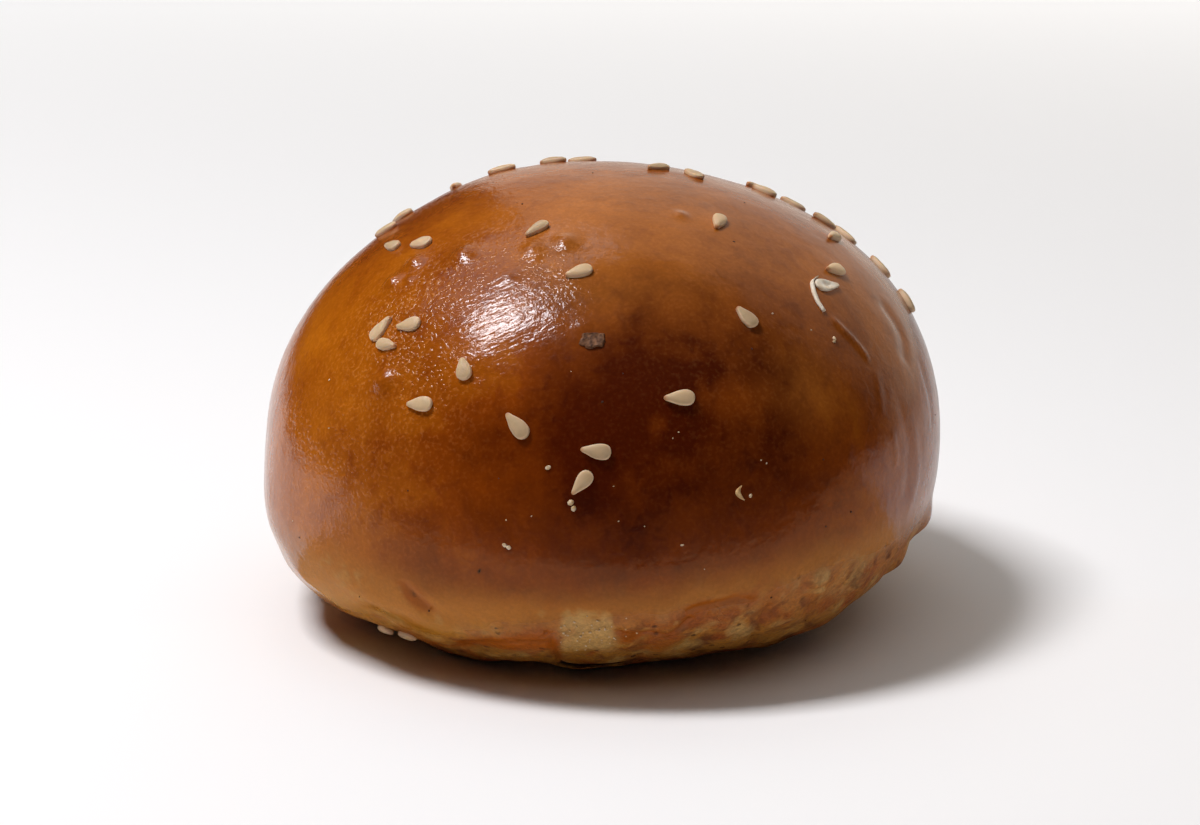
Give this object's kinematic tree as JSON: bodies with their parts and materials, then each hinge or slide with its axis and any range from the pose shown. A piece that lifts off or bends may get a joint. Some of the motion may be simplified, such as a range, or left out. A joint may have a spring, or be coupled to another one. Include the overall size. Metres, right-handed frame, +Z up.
{
  "type": "sesame burger bun",
  "caption": "Round baked burger bun with a glossy browned dome, a pale torn skirt, a flat underside and scattered sesame seeds.",
  "frame": {"origin": "centre of the flat underside that the bun rests on", "axes": "+Z up through the crown, -Y towards the side that the picture shows, +X to that view's right"},
  "size_m": [0.0862, 0.0861, 0.0559],
  "materials": {
    "crust": "glossy egg-washed baked crust, pale and matt at the skirt",
    "seed": "hulled white sesame seed, satin",
    "burnt": "burnt flake, matt",
    "crumb": "pale bread crumb, matt"
  },
  "bodies": {
    "root": {"bun": "crust"}
  },
  "joints": []
}
